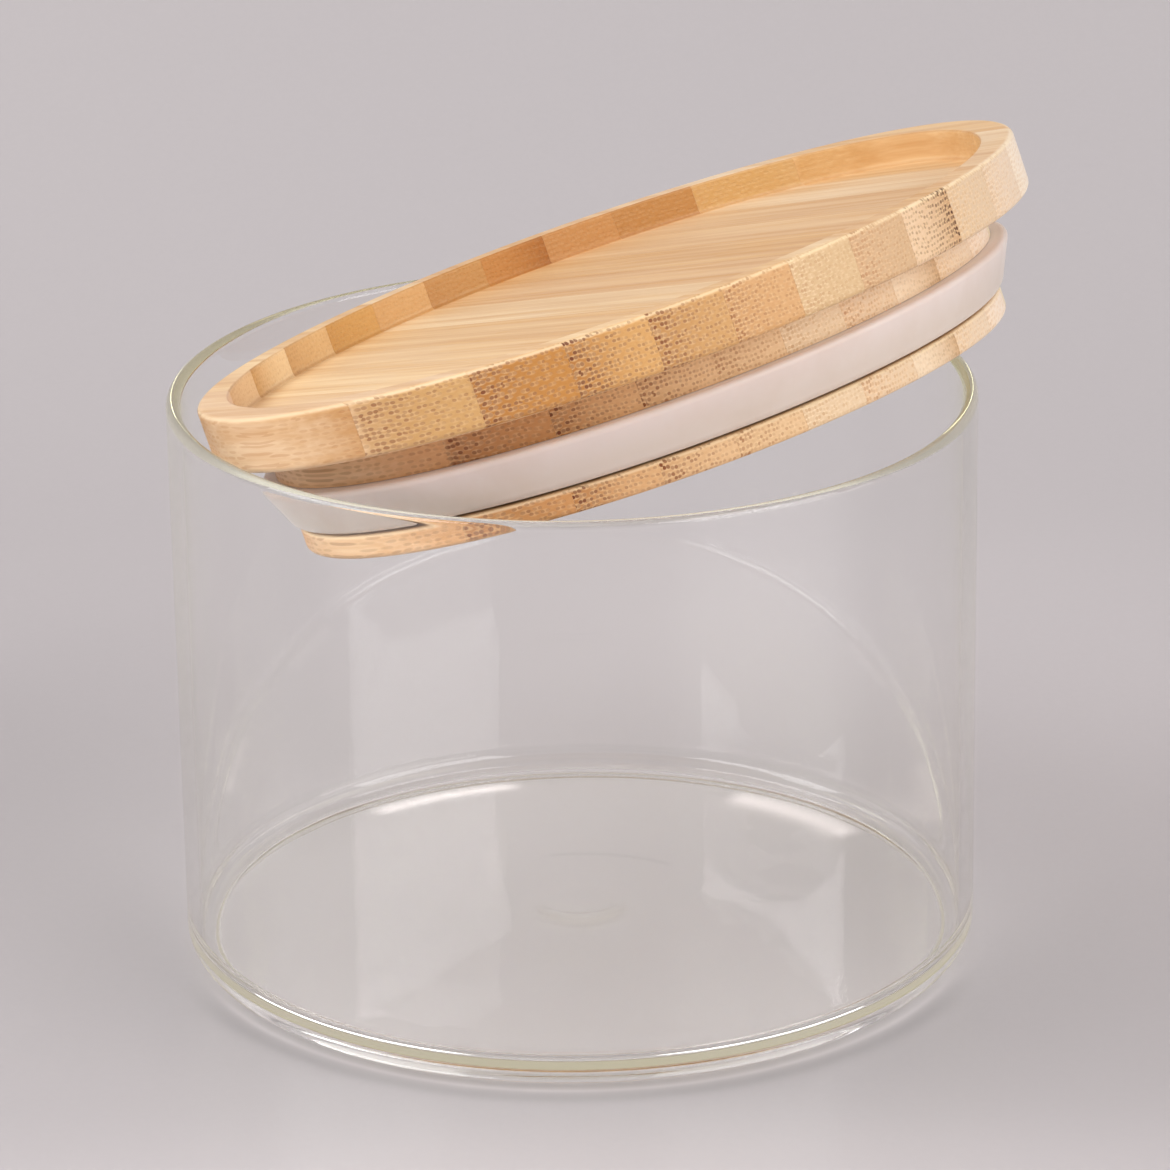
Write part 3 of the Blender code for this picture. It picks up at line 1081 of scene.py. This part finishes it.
@dataclass(frozen=True)
class Softbox:
    """A soft oblong light that faces the jar.

    Attributes:
        name: What it is called.
        azimuth: Direction from the jar, 0 towards the viewer and 90 to the right.
        elevation: Height above level.
        distance: Distance from the jar.
        wide: Angle that it fills from side to side, as seen from the jar.
        high: Angle that it fills from bottom to top.
        brightness: How bright its face is, where a lit white sheet is 1.
    """

    name: str
    azimuth: float
    elevation: float
    distance: float
    wide: float
    high: float
    brightness: float

    def build(self, target: Vector) -> None:
        """Hang the light and point it at the target.

        Args:
            target: Where it points.
        """
        level = cos(self.elevation)
        away = Vector((level * sin(self.azimuth), -level * cos(self.azimuth),
                       sin(self.elevation)))
        lamp = bpy.data.lights.new(self.name, "AREA")
        lamp.shape = "RECTANGLE"
        lamp.size = 2 * self.distance * tan(self.wide / 2)
        lamp.size_y = 2 * self.distance * tan(self.high / 2)
        lamp.energy = self.brightness * lamp.size * lamp.size_y * pi
        holder = bpy.data.objects.new(self.name, lamp)
        holder.location = target + away * self.distance
        holder.rotation_euler = away.to_track_quat("Z", "Y").to_euler()
        bpy.context.collection.objects.link(holder)


@dataclass(frozen=True)
class PaintedLightPatch:
    """A soft oval of painted light or shade on the card, lighter where its lift is above zero and
    darker below. Lengths are in millimetres.

    Attributes:
        right: Distance of its middle to the right of the jar's axis.
        back: Distance of its middle behind the axis.
        wide: Half its width.
        deep: Half its depth.
        lift: How much lighter it is than the card, or darker if below zero.
    """

    right: float
    back: float
    wide: float
    deep: float
    lift: float

    def tone(self, graph: Graph, point: object) -> bpy.types.NodeSocket:
        """Return the share by which the card is lighter at a point."""
        shift = graph.vector("SUBTRACT", point, (self.right * MM, self.back * MM, 0.0)).outputs[0]
        share = (1 / (self.wide * MM), 1 / (self.deep * MM), 1 / (self.deep * MM))
        away = graph.length(graph.vector("MULTIPLY", shift, share).outputs[0])
        return bell(graph, away, self.lift)


@dataclass(frozen=True)
class FootRing:
    """An arc of light or shade that the glass throws on the card round its foot.

    Attributes:
        radius: Its radius, in millimetres.
        width: Half its width, in millimetres.
        lift: How much lighter it is than the card, or darker if below zero.
        azimuth: Direction of its middle, 0 towards the viewer and 90 to the right.
        spread: Angle from its middle at which it has faded out.
    """

    radius: float
    width: float
    lift: float
    azimuth: float = 0.0
    spread: float = radians(73)

    def tone(self, graph: Graph, point: object) -> bpy.types.NodeSocket:
        """Return the share by which the card is lighter at a point."""
        flat = graph.vector("MULTIPLY", point, (1.0, 1.0, 0.0)).outputs[0]
        away = graph.math("SUBTRACT", graph.length(flat), self.radius * MM)
        away = graph.math("DIVIDE", away, self.width * MM)
        towards = (sin(self.azimuth), -cos(self.azimuth), 0.0)
        along = graph.vector("DOT_PRODUCT", graph.vector("NORMALIZE", flat).outputs[0], towards)
        seen = graph.remap(along.outputs["Value"], cos(self.spread), cos(self.spread * 0.7),
                           smooth=True)
        return graph.times(bell(graph, away, self.lift), seen)


@dataclass
class Studio:
    """The tabletop that sweeps up into the backdrop, the lights and the camera.

    Attributes:
        colour: Colour of the sweep.
        lit_front_colour: Its colour towards the viewer, lighter: painted light where more light
            falls on the near card.
        front_from: Where that begins, along Y.
        front_to: Where it is reached.
        half_width: Half the width of the sweep, and how far it reaches to the front and up.
        ambient: Colour of the light that comes from all round.
        ambient_strength: Its strength on what it lights.
        ambient_shown: Its strength as glass and gloss show it.
        painted_light_patches: Soft ovals of painted light and shade on the card.
        rings: Arcs of light and shade on the card, round the foot.
        sweep_start: How far behind the jar the sweep begins to rise.
        sweep_round: Rounding of the rise.
        air_gap: Thickness of the air that stays between the card and the glass.
        softboxes: The lights.
        camera_place: Where the photograph was taken from.
        camera_right: Direction of the picture's right-hand side.
        camera_up: Direction of its top.
        camera_back: Direction from the scene to the camera.
        lens: Focal length, in millimetres of film.
        film: Width of the film, in millimetres.
    """

    colour: Colour = linear(183, 178, 179)
    lit_front_colour: Colour = linear(224, 215, 216)
    front_from: float = -50 * MM
    front_to: float = -150 * MM
    half_width: float = 1.6
    ambient: Colour = (1.0, 0.96, 0.97)
    ambient_strength: float = 0.44
    ambient_shown: float = 0.56
    sweep_start: float = 150 * MM
    sweep_round: float = 300 * MM
    air_gap: float = 0.03 * MM
    # Painted shade below zero and painted light above: shade under, beside and behind the jar,
    # light in front of the foot, behind the jar, and where the lid's shadow falls.
    painted_light_patches: tuple[PaintedLightPatch, ...] = (
        PaintedLightPatch(-84, 44, 55, 48, -0.10),
        PaintedLightPatch(84, -34, 55, 45, -0.05),
        PaintedLightPatch(94, 55, 52, 62, 0.24),
        PaintedLightPatch(-45, -8, 22, 24, -0.10),
        PaintedLightPatch(8, -20, 34, 30, -0.06),
        PaintedLightPatch(0, 2, 60, 60, -0.28),
        PaintedLightPatch(0, -70, 60, 16, 0.12),
        PaintedLightPatch(15, 110, 120, 75, 0.11),
        PaintedLightPatch(0, 220, 200, 70, 0.03),
    )
    rings: tuple[FootRing, ...] = (
        FootRing(48.3, 0.8, -0.10),
        FootRing(49.8, 0.5, 0.16),
        FootRing(51.8, 1.4, -0.13),
        FootRing(45.2, 1.3, 1.1, radians(-156), radians(15)),
        FootRing(44.6, 2.4, 1.0, radians(139), radians(15)),
        FootRing(20.0, 0.6, -0.1, radians(168), radians(28)),
    )
    softboxes: tuple[Softbox, ...] = (
        Softbox("left_softbox", radians(-68), radians(38), 1.0, radians(50), radians(30), 5.2),
        Softbox("right_softbox", radians(52), radians(32), 1.0, radians(48), radians(30), 4.1),
        Softbox("low_softbox", radians(60), radians(4), 1.0, radians(56), radians(14), 2.0),
    )
    camera_place: tuple[float, float, float] = (1.2437 * MM, -649.3319 * MM, 288.0490 * MM)
    camera_right: tuple[float, float, float] = (0.99988066, -0.0053998, -0.01447449)
    camera_up: tuple[float, float, float] = (0.01544891, 0.34948474, 0.93681468)
    camera_back: tuple[float, float, float] = (0.0, -0.9369265, 0.34952645)
    lens: float = 170.795
    film: float = 36.0

    def build(self) -> None:
        """Set up the whole studio."""
        self._sweep()
        self._ambient()
        for softbox in self.softboxes:
            softbox.build(Vector((0, 0, 50 * MM)))
        self._camera()
        bpy.context.scene.view_settings.view_transform = "Standard"

    def _sweep(self) -> None:
        """Lay the tabletop and bend it up behind the jar."""
        mesh = bmesh.new()
        back = self.sweep_start + self.sweep_round
        reach = self.half_width
        places = ((-reach, 0.0), (back, 0.0), (back, reach))
        points = [mesh.verts.new((-reach, y, z - self.air_gap)) for y, z in places]
        for pair in zip(points, points[1:]):
            mesh.edges.new(pair)
        bmesh.ops.bevel(mesh, geom=[points[1]], offset=self.sweep_round, offset_type="OFFSET",
                        segments=32, profile=0.5, affect="VERTICES", material=-1)
        swept = bmesh.ops.extrude_edge_only(mesh, edges=mesh.edges[:])
        moved = [item for item in swept["geom"] if isinstance(item, bmesh.types.BMVert)]
        bmesh.ops.translate(mesh, verts=moved, vec=(2 * reach, 0, 0))
        bmesh.ops.recalc_face_normals(mesh, faces=mesh.faces[:])
        if max(mesh.faces, key=lambda face: face.calc_area()).normal.z < 0:
            bmesh.ops.reverse_faces(mesh, faces=mesh.faces[:])
        add_piece("tabletop", mesh, self._card())

    def _card(self) -> bpy.types.Material:
        """Make the smooth, faintly shiny pale card of the sweep, seen from its face only, with
        painted light and shade.
        """
        material, graph, shader = new_material("pale_card")
        point = graph.place(Matrix.Identity(3), Vector((0, 0, 0)))
        grain = graph.noise(point, 900.0, 3.0)
        tone = graph.blend(graph.remap(grain, 0.3, 0.7), (0.985, 0.985, 0.985), (1.0, 1.0, 1.0))
        # Painted light: the card is lighter towards the viewer, and the ovals and arcs below add
        # painted light and shade.
        front = graph.remap(graph.split(point)[1], self.front_from, self.front_to, smooth=True)
        card = graph.blend(front, self.colour, self.lit_front_colour)
        lift = 1.0
        for mark in (*self.painted_light_patches, *self.rings):
            lift = graph.math("ADD", lift, mark.tone(graph, point))
        shaded = graph.scaled(graph.blend(1.0, card, tone, "MULTIPLY"), lift)
        graph.feed(shader.inputs["Base Color"], shaded)
        shader.inputs["Roughness"].default_value = 0.3
        shader.inputs["Specular IOR Level"].default_value = 0.5
        behind = graph.node("ShaderNodeNewGeometry").outputs["Backfacing"]
        graph.show_mix(behind, shader, graph.node("ShaderNodeBsdfTransparent"))
        return material

    def _ambient(self) -> None:
        """Light the scene evenly from all round, and give glass and gloss a pale room."""
        world = bpy.data.worlds.new("ambient")
        world.use_nodes = True
        graph = Graph(world.node_tree)
        background = world.node_tree.nodes["Background"]
        background.inputs["Color"].default_value = (*self.ambient, 1.0)
        path = graph.node("ShaderNodeLightPath")
        seen = graph.math("MAXIMUM", path.outputs["Is Glossy Ray"],
                          path.outputs["Is Transmission Ray"])
        seen = graph.math("MAXIMUM", seen, path.outputs["Is Camera Ray"])
        graph.feed(background.inputs["Strength"],
                   graph.remap(seen, 0.0, 1.0, self.ambient_strength, self.ambient_shown))
        bpy.context.scene.world = world

    def _camera(self) -> None:
        """Place the camera where the photograph was taken from."""
        turn = Matrix((self.camera_right, self.camera_up, self.camera_back)).transposed()
        camera = bpy.data.cameras.new("camera")
        camera.lens = self.lens
        camera.sensor_width = self.film
        holder = bpy.data.objects.new("camera", camera)
        holder.matrix_world = Matrix.Translation(self.camera_place) @ turn.to_4x4()
        bpy.context.collection.objects.link(holder)
        bpy.context.scene.camera = holder


def main() -> None:
    """Build the jar, its lid and the studio."""
    logging.basicConfig(level=logging.INFO, format="%(name)s: %(message)s")
    Studio().build()
    GlassJar().build()
    lean = Lean()
    SiliconeRing().build(lean)
    BambooLid().build(lean)


if __name__ == "__main__":
    main()
